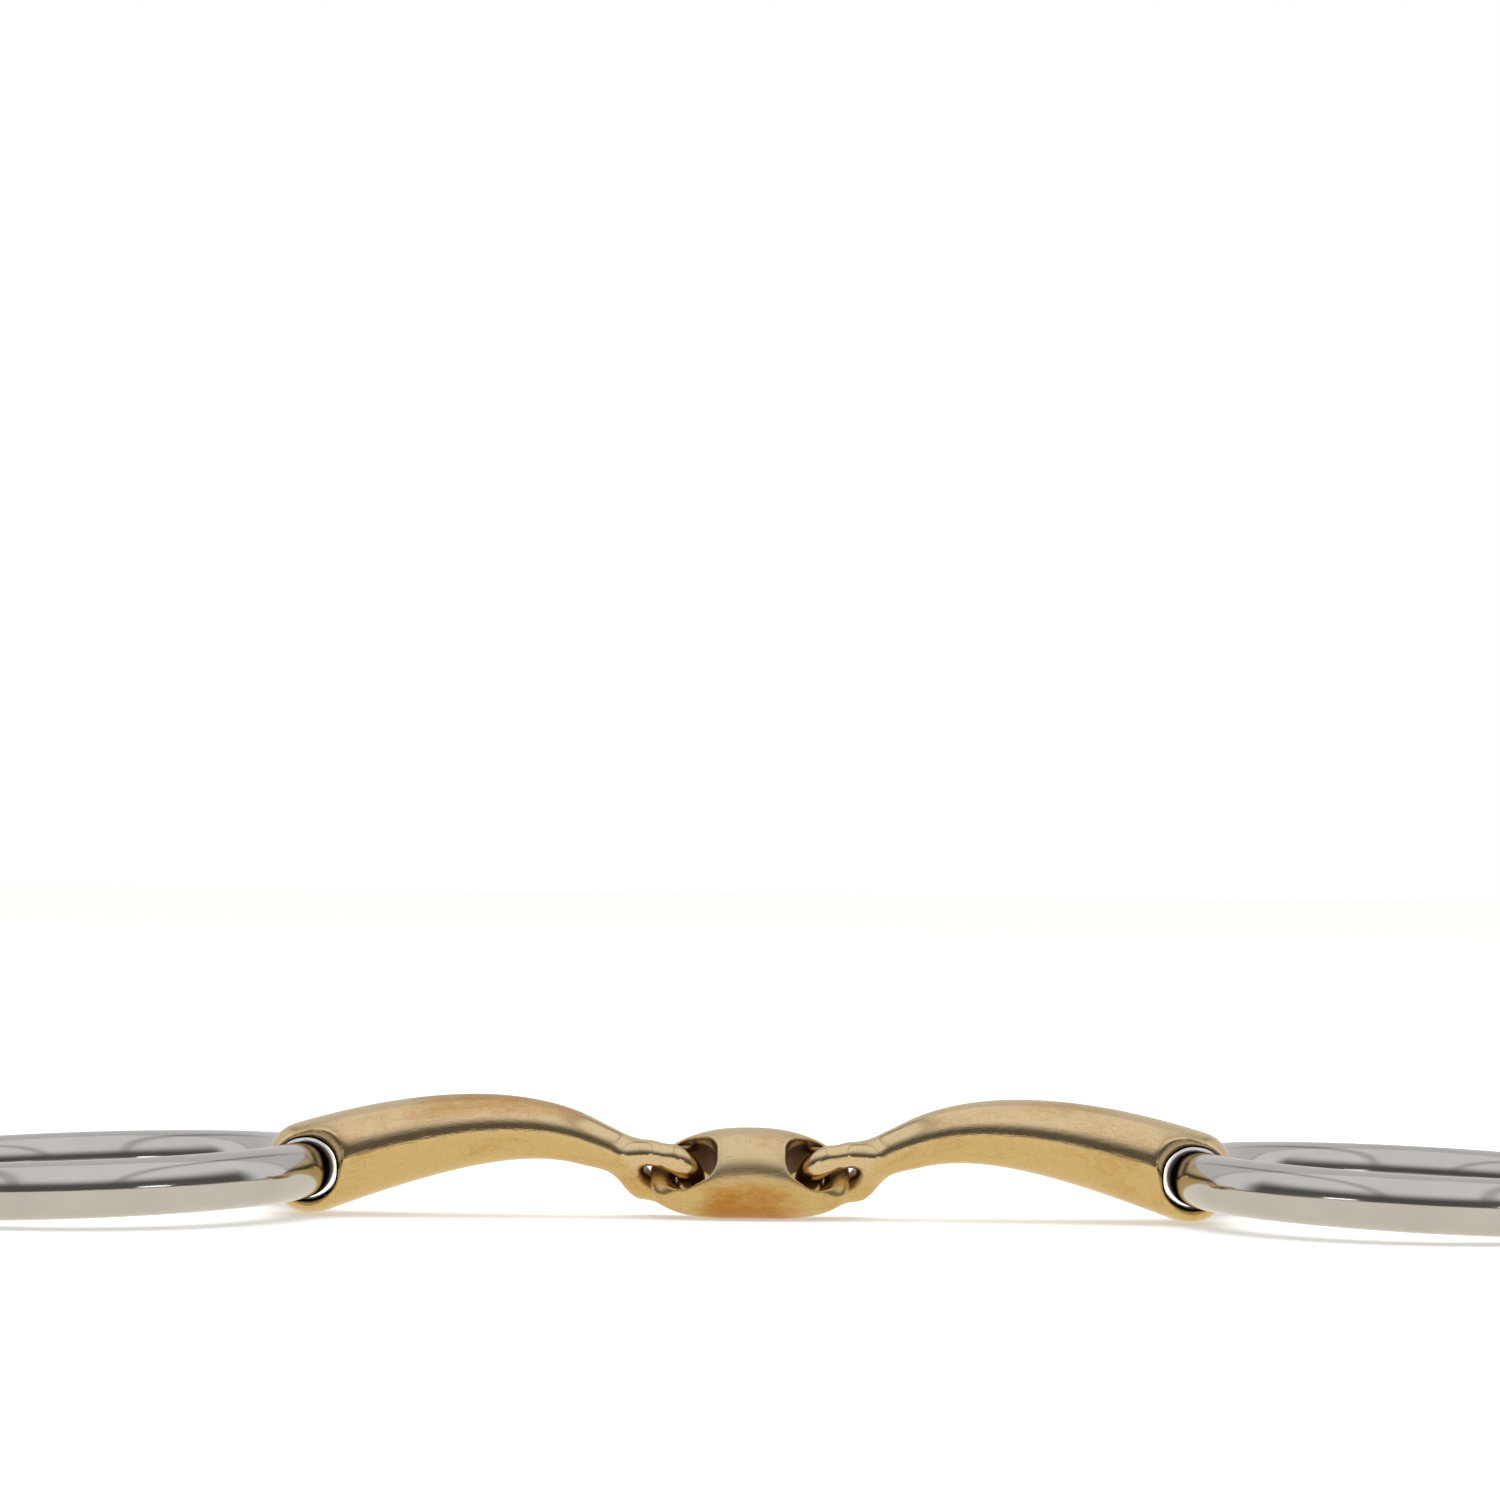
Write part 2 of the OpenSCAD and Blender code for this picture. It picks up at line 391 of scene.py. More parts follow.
class NodePlan:
    """A node tree under construction. Each method adds a node and gives its result's socket."""

    def __init__(self, tree: bpy.types.NodeTree) -> None:
        """Takes a tree over and empties it.

        Args:
            tree: the node tree of a material or of the world.
        """
        tree.nodes.clear()
        self.tree = tree

    def add(
        self, kind: str, output: str | int | None = None, inputs: dict[str | int, object] | None = None,
        **settings: object,
    ) -> bpy.types.NodeSocket | None:
        """Adds one node.

        Args:
            kind: Blender's name for the node's kind, after ShaderNode.
            output: name or number of the wanted output, or None for a node without one.
            inputs: a value or another node's socket for each input, by name or number.
            settings: the node's properties.

        Returns:
            The wanted output's socket.
        """
        node = self.tree.nodes.new(f"ShaderNode{kind}")
        for name, value in settings.items():
            setattr(node, name, value)
        for key, value in (inputs or {}).items():
            if isinstance(value, bpy.types.NodeSocket):
                self.tree.links.new(value, node.inputs[key])
            else:
                node.inputs[key].default_value = value
        return None if output is None else node.outputs[output]

    def attribute(self, name: str, output: str = "Fac") -> bpy.types.NodeSocket:
        """Reads what a piece stores for each vertex."""
        return self.add("Attribute", output, attribute_name=name)

    def stretched(
        self, place: bpy.types.NodeSocket, scale: tuple[float, float, float],
        turn: tuple[float, float, float] = (0.0, 0.0, 0.0),
    ) -> bpy.types.NodeSocket:
        """Scales and turns the coordinates that a pattern is laid in."""
        return self.add("Mapping", "Vector", {"Vector": place, "Scale": scale, "Rotation": turn})

    def noise(
        self, place: bpy.types.NodeSocket, patch_mm: float, detail: float,
        roughness: float = 0.5, distortion: float = 0.0,
    ) -> bpy.types.NodeSocket:
        """Adds a random pattern, its patches as wide as is asked for."""
        return self.add("TexNoise", "Fac", {
            "Vector": place, "Scale": 1 / (patch_mm * MM), "Detail": detail,
            "Roughness": roughness, "Distortion": distortion,
        })

    def calc(
        self, operation: str, *values: float | bpy.types.NodeSocket, clamp: bool = False,
    ) -> bpy.types.NodeSocket:
        """Works one sum, kept between 0 and 1 if it is clamped."""
        return self.add("Math", "Value", dict(enumerate(values)), operation=operation, use_clamp=clamp)

    def span(
        self, value: bpy.types.NodeSocket, low: float, high: float,
        first: float = 0.0, last: float = 1.0, soft: bool = False,
    ) -> bpy.types.NodeSocket:
        """Runs from first to last while a value runs from low to high, and holds beyond."""
        return self.add("MapRange", "Result", {
            "Value": value, "From Min": low, "From Max": high, "To Min": first, "To Max": last,
        }, interpolation_type="SMOOTHSTEP" if soft else "LINEAR")

    def blend(self, share: bpy.types.NodeSocket, first: object, second: object) -> bpy.types.NodeSocket:
        """Blends from a first colour to a second."""
        return self.add("Mix", 2, {0: share, 6: first, 7: second}, data_type="RGBA")

    def bump(
        self, height: bpy.types.NodeSocket, strength: float, depth_mm: float,
        **under: bpy.types.NodeSocket,
    ) -> bpy.types.NodeSocket:
        """Roughens the surface, over the relief that is given as Normal, if any."""
        relief = {"Height": height, "Strength": strength, "Distance": depth_mm * MM}
        return self.add("Bump", "Normal", relief | under)

    def metal(self, colour: object, roughness: object, relief: bpy.types.NodeSocket) -> None:
        """Ends a material in bare metal."""
        shader = self.add("BsdfPrincipled", "BSDF", {
            "Metallic": 1.0, "Base Color": colour, "Roughness": roughness, "Normal": relief,
        })
        self.add("OutputMaterial", inputs={"Surface": shader})


# ------------------------------------------------------------------------------- finishes


@dataclass(frozen=True)
class CastCopperAlloy:
    """Cast copper alloy, polished with a mop and lightly worn by hands.

    It mirrors its surroundings in warm gold through a haze of fine lengthwise scratches,
    has orange-brown tarnishing where fingers and air have reached it, and has light and
    shade painted into its colour: a painted highlight makes its upper side paler gold, the
    same orange-brown is painted shade over the link's lower front lobe, and painted shade
    turns it dark brown deep inside the holes.
    """

    name: str = "cast_copper_alloy_polished"
    gold: str = "d5ba81"
    # painted highlight: paler gold for upper sides, also used for the random milky haze
    highlight_haze_gold: str = "dcc59c"
    # orange-brown of real tarnishing, also laid on as painted shade over the link's lower front lobe
    tarnish_and_shade: str = "bd873c"
    # painted shade deep in the holes, and the grime held in scratches
    shade_and_grime_brown: str = "5e4326"
    roughness: float = 0.13
    scratch_mm: float = 0.16
    tarnish_patch_mm: float = 7.0

    def make(self) -> bpy.types.Material:
        """Builds the material's nodes.

        Returns:
            The material.
        """
        material = bpy.data.materials.new(self.name)
        material.use_nodes = True
        nodes = NodePlan(material.node_tree)
        place = nodes.attribute("straight", "Vector")

        # scratches run along the piece: narrow across it, forty times as long
        scratches = nodes.noise(nodes.stretched(place, (0.025, 1.0, 1.0)), self.scratch_mm, 2.0, 0.6)
        haze = nodes.noise(place, 2.4, 3.0, 0.55)
        # tarnishing lies in streaks: the more hands reach a place, the more of it is covered, and the
        # link's lower front lobe gets the same colour as painted shade
        brushed = nodes.stretched(place, (0.45, 1.0, 1.0))
        patches = nodes.noise(brushed, self.tarnish_patch_mm, 6.0, 0.66)
        smears = nodes.noise(brushed, 0.9, 5.0, 0.7, 1.6)
        broken = nodes.calc("MULTIPLY_ADD", smears, 0.6, nodes.attribute("handled"))
        tarnish_and_shade = nodes.span(nodes.calc("ADD", patches, broken), 1.06, 1.56)

        milky = nodes.calc("MULTIPLY_ADD", haze, 0.5, -0.25)
        # painted highlight: the upper side, stored as pale, is painted paler gold, mixed with the random
        # milky haze
        top_highlight_and_haze = nodes.calc("ADD", nodes.attribute("pale"), milky, clamp=True)
        gold = nodes.blend(top_highlight_and_haze, linear_colour(self.gold), linear_colour(self.highlight_haze_gold))
        tarnish_and_shade_colour = nodes.blend(tarnish_and_shade, gold, linear_colour(self.tarnish_and_shade))
        # painted shade: dark brown deep in a hole, breaking up towards its mouth
        painted_hole_shade = nodes.span(nodes.calc("ADD", nodes.attribute("recess"), milky), 0.3, 0.85)
        bare = nodes.blend(painted_hole_shade, tarnish_and_shade_colour, linear_colour(self.shade_and_grime_brown))
        # a scratch holds a little grime, which darkens it
        across = nodes.stretched(place, (1.0, 0.07, 0.07), (0.0, 0.5, 0.2))
        nicks = nodes.noise(across, 0.17, 2.0, 0.6)
        grime = nodes.span(nodes.calc("MAXIMUM", scratches, nicks), 0.58, 0.85, last=0.32)
        colour = nodes.blend(grime, bare, linear_colour(self.shade_and_grime_brown))

        shine = nodes.span(scratches, 0.3, 0.7, self.roughness - 0.05, self.roughness + 0.07)
        duller = nodes.calc("MULTIPLY_ADD", tarnish_and_shade, 0.16, shine)
        # the link was only brushed, and mirrors less sharply than the arms
        brushing = nodes.calc("MULTIPLY_ADD", nodes.attribute("satin"), 0.16, duller)
        dull = nodes.calc("MULTIPLY_ADD", painted_hole_shade, 0.2, brushing)

        scored = nodes.bump(scratches, 0.25, 0.05)
        hand_worked = nodes.bump(nodes.noise(place, 5.5, 1.0), 0.22, 0.12, Normal=scored)
        nodes.metal(colour, dull, hand_worked)
        return material


@dataclass(frozen=True)
class PolishedStainless:
    """Stainless steel wire, welded and polished round and round on a mop.

    It is a cool, near-neutral mirror with hair-fine lines along the wire and faint
    milky patches.
    """

    name: str = "stainless_steel_polished"
    bright: str = "cccac8"
    cloudy: str = "bbb9b6"
    roughness: float = 0.09
    hairline_mm: float = 0.2

    def make(self) -> bpy.types.Material:
        """Builds the material's nodes.

        Returns:
            The material.
        """
        material = bpy.data.materials.new(self.name)
        material.use_nodes = True
        nodes = NodePlan(material.node_tree)
        place = nodes.attribute("straight", "Vector")
        along = nodes.stretched(place, (0.02, 1.0, 1.0))
        hairlines = nodes.noise(along, self.hairline_mm, 2.0, 0.6)
        cloud = nodes.noise(place, 7.0, 3.0)
        colour = nodes.blend(cloud, linear_colour(self.bright), linear_colour(self.cloudy))
        shine = nodes.span(hairlines, 0.3, 0.7, self.roughness - 0.03, self.roughness + 0.07)
        nodes.metal(colour, shine, nodes.bump(hairlines, 0.06, 0.04))
        return material


# --------------------------------------------------------------------------------- pieces


@dataclass
class CentreLink:
    """The oval link in the middle of the mouthpiece, with a hole at each end.

    It is nearly round through its middle and fuller below than above.
    """

    length: float = 30.2
    width: float = 13.7
    thickness: float = 13.6
    bar_d: float = 3.9
    web: float = 10.4
    lean: float = 42.0
    hole_stretch: float = 2.0
    hole_drop: float = 1.0
    mouth_r: float = 3.5
    upper_outline: float = 2.2
    lower_outline: float = 5.0
    middle_round: float = 2.05
    upper_round: float = 2.2
    lower_round: float = 4.0
    grain: float = 0.17
    steps: int = 96
    sides: int = 144
    bar_r: float = field(init=False)
    bar_x: float = field(init=False)
    mouth_x: float = field(init=False)
    hole_x: float = field(init=False)
    hole_r: float = field(init=False)

    def __post_init__(self) -> None:
        """Works out the sizes that follow from the others."""
        self.bar_r = self.bar_d / 2
        self.bar_x = self.length / 2 - self.bar_r
        self.mouth_x = self.bar_x - self.mouth_r
        inner, outer = self.web / 2, self.length / 2 - self.bar_d
        self.hole_x = (inner + outer) / 2
        self.hole_r = (outer - inner) / 2

    def half_width(self, x: float, power: float) -> float:
        """Gives half the link's width at a distance from its middle."""
        share = min(1.0, abs(2 * x / self.length))
        return self.width / 2 * (1 - share ** power) ** (1 / power)

    def half_thickness(self, x: float) -> float:
        """Gives half the link's thickness at a distance from its middle."""
        if abs(x) > self.bar_x:
            return math.sqrt(max(0.0, self.bar_r ** 2 - (abs(x) - self.bar_x) ** 2))
        share = (abs(x) / self.bar_x) ** 2.4
        return self.thickness / 2 * (1 - share) + self.bar_r * share

    def section(self, x: float) -> np.ndarray:
        """Gives the points round the link at a distance from its middle.

        Args:
            x: the distance in millimetres.

        Returns:
            One row of x, y and z for each point, the link standing upright.
        """
        turn = np.linspace(0, 2 * math.pi, self.sides, endpoint=False)
        up, across = np.cos(turn), np.sin(turn)
        end = abs(2 * x / self.length) ** 2
        points = np.empty((self.sides, 3))
        points[:, 0] = x
        for part, outline, end_round in (
            (up > 0, self.upper_outline, self.upper_round),
            (up <= 0, self.lower_outline, self.lower_round),
        ):
            power = 2 / (self.middle_round + (end_round - self.middle_round) * end)
            points[part, 1] = self.half_thickness(x) * signed_power(across[part], power)
            points[part, 2] = self.half_width(x, outline) * signed_power(up[part], power)
        return points

    def build(self) -> bpy.types.Object:
        """Casts the link: an oval blank whose two mouths leave round end bars, and its holes.

        Returns:
            The finished link, leaning as it lies.
        """
        places = [self.length / 2 * 0.9995 * math.sin(math.pi * i / self.steps)
                  for i in range(-self.steps // 2, self.steps // 2 + 1)]
        link = skin("centre_link_metal", np.array([self.section(x) for x in places]))
        melt(link, self.grain)
        lift = self.hole_stretch / 2
        for side in (1, -1):
            mouth = hourglass("mouth", self.mouth_r, self.bar_r, self.thickness)
            stretch_apart(mouth, lift)
            self.shift(mouth, side * self.mouth_x)
            cut(link, mouth)
            slot = rod("slot", self.hole_r, self.thickness * 2)
            stretch_apart(slot, lift)
            self.shift(slot, side * self.hole_x)
            cut(link, slot)
        melt(link, self.grain)
        apply_modifier(link, "SMOOTH", factor=0.5, iterations=44)
        self.mark(link)
        link.rotation_euler = (-math.radians(self.lean), 0, 0)
        link.location = (0, 0, joint_place("right_fold")[2] * MM)
        settle(link)
        bpy.ops.object.shade_smooth()
        return link

    def shift(self, piece: bpy.types.Object, x: float) -> None:
        """Moves a piece along the link, to the height of its holes, and settles it there."""
        piece.location = (x * MM, 0, -self.hole_drop * MM)
        settle(piece)

    def mark(self, link: bpy.types.Object) -> None:
        """Stores where the surface lies along the link, how deep in a hole it is for the painted shade
        there, a light even handling with painted shade on the lower front lobe, and the upper side that
        gets a painted highlight.

        Args:
            link: the link, still lying flat about the origin.
        """
        at = vertices_mm(link)
        x, y, z = np.abs(at[:, 0]), at[:, 1], at[:, 2]
        lift = self.hole_stretch / 2
        reach = np.hypot(x - self.hole_x, np.maximum(0.0, np.abs(z + self.hole_drop) - lift))
        wall = 1 - smooth_step(reach, self.hole_r + 0.2, self.hole_r + 0.7)
        deep = smooth_step(self.half_thickness(self.hole_x) - np.abs(y), 0.7, 2.6)
        write_attribute(link, "straight", at * MM)
        # painted shade: dark brown deep in the holes
        write_attribute(link, "recess", wall * deep)
        lean = math.radians(self.lean)
        low = z * math.cos(lean) - y * math.sin(lean)
        # painted shade: the lower front lobe, fullest at the middle, gets extra orange-brown on top of the
        # light even handling
        lobe = smooth_step(-low, -0.8, 3.4) * (1 - smooth_step(x, 2.5, 10.5))
        write_attribute(link, "handled", 0.24 + 0.5 * lobe)
        write_attribute(link, "satin", np.ones(len(at)))
        # painted highlight: the link's upper side is painted paler
        write_attribute(link, "pale", smooth_step(low, -2.0, 0.5))


@dataclass
class Arm:
    """One arched arm of the mouthpiece: an eye, a neck, and a knob with the ring bore.

    The eye's middle hangs off the fold joint's place by eye_hang. The ring bore is centred on
    the swing joint's place, and its lips are read off the knob lip_out away from its axis.
    """

    side: Side
    knob_d: float = 14.1
    neck_d: float = 6.5
    end_wall: float = 1.8
    arch_angle: float = 18.8
    arch_reach: float = 0.85
    eye_run: float = 8.0
    eye_dip: float = 0.7
    eye_hang_x: float = 0.251
    eye_hang_y: float = -0.134
    eye_hang_z: float = -0.048
    eye_r: float = 4.8
    eye_wire_r: float = 2.1
    eye_slope: float = 22.0
    eye_roll: float = 53.0
    eye_spread: float = 5.0
    neck_fill: float = 0.55
    ring_r: float = 35.0
    ring_wire_r: float = 4.3
    ring_play: float = 0.3
    bore_lip: float = 1.2
    inner_lip: float = 2.3
    lip_out: float = 5.8
    end_ease: float = 0.34
    grain: float = 0.2
    steps: int = 140
    sides: int = 96
    bore_x: float = field(init=False)
    bore_z: float = field(init=False)
    eye_x: float = field(init=False)
    eye_y: float = field(init=False)
    eye_z: float = field(init=False)
    spread_end: float = field(init=False)

    def __post_init__(self) -> None:
        """Works out where the bore and the eye stand, and where the neck has lost the eye's breadth."""
        self.bore_x, _, self.bore_z = joint_place("right_swing")
        fold_x, fold_y, fold_z = joint_place("right_fold")
        self.eye_x = fold_x + self.eye_hang_x
        self.eye_y = fold_y + self.eye_hang_y
        self.eye_z = fold_z + self.eye_hang_z
        self.spread_end = self.eye_x + self.eye_r * 0.45 + self.eye_spread

    def curve(self, t: float) -> tuple[np.ndarray, float]:
        """Follows the arm's middle line.

        Args:
            t: 0 at the eye, 1 at the ring bore.

        Returns:
            The place in millimetres and the slope in degrees.
        """
        climb = (self.bore_x - self.eye_x) * self.arch_reach
        angle = math.radians(self.arch_angle)
        points = np.array([
            (self.eye_x, self.eye_y, self.eye_z),
            (self.eye_x + self.eye_run, self.eye_y, self.eye_z - self.eye_dip),
            (self.bore_x - climb * math.cos(angle), 0, self.bore_z + climb * math.sin(angle)),
            (self.bore_x, 0, self.bore_z),
        ])
        shares = np.array([(1 - t) ** 3, 3 * t * (1 - t) ** 2, 3 * t * t * (1 - t), t ** 3])
        runs = np.array([(1 - t) ** 2, 2 * t * (1 - t), t * t])
        run = runs @ np.diff(points, axis=0)
        return shares @ points, math.degrees(math.atan2(run[2], run[0]))

    def place(self, at: np.ndarray, slope: float, q: np.ndarray, n: np.ndarray) -> np.ndarray:
        """Puts the points of one section in their place.

        Args:
            at: the section's middle.
            slope: its slope along the arm in degrees.
            q: how far each point lies across the eye's breadth.
            n: how far it lies through the eye's thickness.

        Returns:
            One row of x, y and z for each point.
        """
        roll, tilt = math.radians(self.eye_roll), math.radians(slope)
        up = q * math.cos(roll) + n * math.sin(roll)
        out = n * math.cos(roll) - q * math.sin(roll)
        return at + np.stack([-up * math.sin(tilt), out, up * math.cos(tilt)], axis=1)

    def disc_half(self, d: float, q: np.ndarray) -> np.ndarray:
        """Gives half the eye's thickness, a flat disc with a full round edge."""
        past = np.maximum(0.0, np.hypot(d, q) - self.eye_r)
        return 0.985 * np.sqrt(np.maximum(0.0, self.eye_wire_r ** 2 - past ** 2))

    def blank(self) -> bpy.types.Object:
        """Draws the arm before drilling: a flat disc for the eye that turns into a round limb.

        Returns:
            The blank, one closed skin.
        """
        turn = np.linspace(0, 2 * math.pi, self.sides, endpoint=False)
        across, through = np.cos(turn), np.sin(turn)
        outer = self.eye_r + self.eye_wire_r
        eye = np.array([self.eye_x, self.eye_y, self.eye_z])
        slope = math.radians(self.eye_slope)
        along = np.array([math.cos(slope), 0, math.sin(slope)])
        rings = []
        for number in range(24):
            angle = math.radians(88 * (1 - number / 24))
            d, q = outer * math.sin(angle), outer * math.cos(angle) * across
            rings.append(self.place(eye - d * along, self.eye_slope, q,
                                    np.sign(through) * self.disc_half(d, q)))
        for number in range(self.steps + 1):
            at, tilt = self.curve(number / self.steps)
            share = float(smooth_step(at[0], self.eye_x, self.spread_end))
            tilt = self.eye_slope + (tilt - self.eye_slope) * share
            out = max(0.0, (at[0] - self.spread_end) / (self.bore_x - self.spread_end))
            r = self.neck_d / 2 + (self.knob_d - self.neck_d) / 2 * (
                0.6 * math.sin(math.pi / 2 * out) + 0.4 * out)
            flare = float(smooth_step(self.spread_end - at[0], 0.0, self.eye_spread))
            lift = self.neck_fill * hump(at[0] - self.eye_x, (1.6, 5.4), (4.8, 11.0))
            at = at + np.array([0.0, 0.0, lift])
            flat = np.sign(through) * self.disc_half(0.0, outer * across)
            rings.append(self.place(at, tilt, (r + (outer - r) * flare) * across,
                                    r * through * (1 - flare) + flat * flare))
        end_l = self.ring_wire_r + self.ring_play + self.end_wall
        angle = math.radians(self.arch_angle)
        bore = np.array([self.bore_x, 0, self.bore_z])
        for number in range(1, 19):
            bend = math.radians(88 * number / 18)
            reach = end_l * math.sin(bend)
            r = self.knob_d / 2 * math.cos(bend)
            rings.append(self.place(bore + reach * np.array([math.cos(angle), 0, -math.sin(angle)]),
                                    -self.arch_angle, r * across, r * through))
        return skin(f"{self.side.name.lower()}_arm_metal", np.array(rings))

    def into_eye(self, piece: bpy.types.Object) -> None:
        """Puts a piece drawn about the origin, facing Y, into the plane of the eye.

        Args:
            piece: the object to place.
        """
        roll = Matrix.Rotation(math.radians(self.eye_roll), 4, "X")
        slope = Matrix.Rotation(-math.radians(self.eye_slope), 4, "Y")
        middle = Matrix.Translation(Vector((self.eye_x, self.eye_y, self.eye_z)) * MM)
        piece.matrix_world = middle @ slope @ roll
        settle(piece)

    def eye_cutter(self) -> bpy.types.Object:
        """Draws the solid that the eye is cut with, which leaves its rim as round as a wire."""
        cutter = hourglass("eye_hole", self.eye_r, self.eye_wire_r, self.eye_wire_r * 2.5)
        self.into_eye(cutter)
        return cutter

    def bore_radius(self, y: np.ndarray, turn: np.ndarray) -> np.ndarray:
        """Gives the ring bore's radius, wider outwards where the curved wire has to swing.

        Args:
            y: depth along the bore in millimetres.
            turn: direction round the bore in radians, 0 being outwards, away from the link.

        Returns:
            The radius at each place.
        """
        inward = smooth_step(-np.cos(turn), -0.1, 0.6)
        bow = self.ring_r - self.ring_wire_r - np.sqrt((self.ring_r - self.ring_wire_r) ** 2 - y ** 2)
        bow = bow * (1 - inward * (1 - np.abs(np.sin(turn))))
        waist = 1 - smooth_step(np.abs(y), 2.0, 4.0)
        # rubbing brings the thin end wall nearer to the wire, so it is cut wider there
        wire = (self.ring_wire_r + self.ring_play * (1 - (0.3 + 0.25 * waist) * inward)
                + self.end_ease * smooth_step(np.cos(turn), 0.1, 0.8))
        lip = self.bore_lip + (self.inner_lip - self.bore_lip) * inward
        mouth = np.sqrt((self.knob_d / 2) ** 2 - (self.lip_out * np.sin(turn)) ** 2)
        rise = np.clip(np.abs(y) - mouth + lip * 0.85, 0.0, lip * 0.96)
        return wire + bow + lip - np.sqrt(lip ** 2 - rise ** 2)

    def bore_cutter(self) -> bpy.types.Object:
        """Draws the solid that the ring bore is cut with, lying across the arm."""
        half = self.knob_d / 2 + 0.6
        rough_r = self.ring_wire_r + self.ring_play
        cutter = loft("ring_bore", [(half * i / 24, rough_r) for i in range(-24, 25)])
        at = vertices_mm(cutter)
        turn = np.arctan2(at[:, 2], at[:, 0])
        reach = self.bore_radius(at[:, 1], turn)
        at[:, 0], at[:, 2] = reach * np.cos(turn), reach * np.sin(turn)
        cutter.data.vertices.foreach_set("co", (at * MM).ravel())
        cutter.data.update()
        cutter.location = (self.bore_x * MM, 0, self.bore_z * MM)
        settle(cutter)
        return cutter

    def build(self) -> bpy.types.Object:
        """Casts the arm, drills its eye and its ring bore, and rubs the edges smooth.

        Returns:
            The finished right arm, or its mirror image.
        """
        arm = self.blank()
        melt(arm, self.grain)
        apply_modifier(arm, "SMOOTH", factor=0.5, iterations=4)
        cut(arm, self.eye_cutter())
        cut(arm, self.bore_cutter())
        melt(arm, self.grain)
        self.rub_lips(arm)
        self.rub_neck(arm)
        apply_modifier(arm, "SMOOTH", factor=0.5, iterations=16)
        self.mark(arm)
        if self.side is Side.LEFT:
            arm.scale.x = -1
            settle(arm)
            bpy.ops.object.mode_set(mode="EDIT")
            bpy.ops.mesh.select_all(action="SELECT")
            bpy.ops.mesh.normals_make_consistent(inside=False)
            release_all()
        pick(arm)
        bpy.ops.object.shade_smooth()
        return arm

    def rub_lips(self, arm: bpy.types.Object) -> None:
        """Rubs the two lips of the ring bore well over, as the mop does, and leaves the rest.

        Args:
            arm: the right arm, in its place.
        """
        at = vertices_mm(arm)
        from_bore = np.hypot(at[:, 0] - self.bore_x, at[:, 2] - self.bore_z)
        lip = smooth_step(np.abs(at[:, 1]), 3.6, 4.6) * (1 - smooth_step(from_bore, 6.6, 8.0))
        rub(arm, lip, 50)

    def rub_neck(self, arm: bpy.types.Object) -> None:
        """Rubs the neck well over, where the flat eye runs out into the round limb.

        Args:
            arm: the right arm, in its place.
        """
        at = vertices_mm(arm)
        from_eye = np.linalg.norm(at - np.array([self.eye_x, self.eye_y, self.eye_z]), axis=1)
        neck = smooth_step(from_eye, 3.8, 5.6) * hump(at[:, 0] - self.eye_x, (0.6, 3.0), (9.0, 13.0))
        rub(arm, neck, 110)

    def mark(self, arm: bpy.types.Object) -> None:
        """Stores where the surface lies along the arm, how deep in a hole it is for the painted shade
        there, where hands reach, and the upper half that gets a painted highlight.

        Args:
            arm: the right arm, in its place.
        """
        at = vertices_mm(arm)
        line = np.array([(p[0], p[2], slope) for p, slope in (self.curve(i / 200) for i in range(201))])
        length = np.concatenate([[0.0], np.cumsum(np.hypot(np.diff(line[:, 0]), np.diff(line[:, 1])))])
        middle = np.interp(at[:, 0], line[:, 0], line[:, 1])
        slope = np.radians(np.interp(at[:, 0], line[:, 0], line[:, 2]))
        rise = (at[:, 2] - middle) * np.cos(slope)
        along = np.interp(at[:, 0], line[:, 0], length) + (at[:, 2] - middle) * np.sin(slope)
        along += np.minimum(0.0, at[:, 0] - self.eye_x) + np.maximum(0.0, at[:, 0] - self.bore_x)
        straight = np.stack([along * self.side.value + 90.0, at[:, 1], rise], axis=1)
        write_attribute(arm, "straight", straight * MM)

        axis = (Matrix.Rotation(-math.radians(self.eye_slope), 3, "Y")
                @ Matrix.Rotation(math.radians(self.eye_roll), 3, "X")) @ Vector((0, 1, 0))
        off = at - np.array([self.eye_x, self.eye_y, self.eye_z])
        height = off @ np.array(axis)
        reach = np.linalg.norm(off - height[:, None] * np.array(axis), axis=1)
        in_eye = 0.75 * (1 - smooth_step(reach, self.eye_r - self.eye_wire_r + 0.2, self.eye_r - 0.7))
        from_bore = np.hypot(at[:, 0] - self.bore_x, at[:, 2] - self.bore_z)
        wall = self.ring_wire_r + self.ring_play
        in_bore = ((1 - smooth_step(from_bore, wall + 0.3, wall + 0.8))
                   * (1 - smooth_step(np.abs(at[:, 1]), 2.0, 3.6)))
        # painted shade: dark brown inside the eye and the ring bore
        write_attribute(arm, "recess", np.maximum(in_eye, in_bore))
        crest = smooth_step(rise, 1.0, 4.0) * hump(at[:, 0], (20.0, 28.0), (46.0, 54.0))
        share = 1.0 if self.side is Side.LEFT else 0.35
        write_attribute(arm, "handled", 0.24 + 0.36 * share * crest)
        write_attribute(arm, "satin", np.zeros(len(at)))
        # painted highlight: the arm's upper half is painted paler
        write_attribute(arm, "pale", smooth_step(rise, -0.8, 0.8))


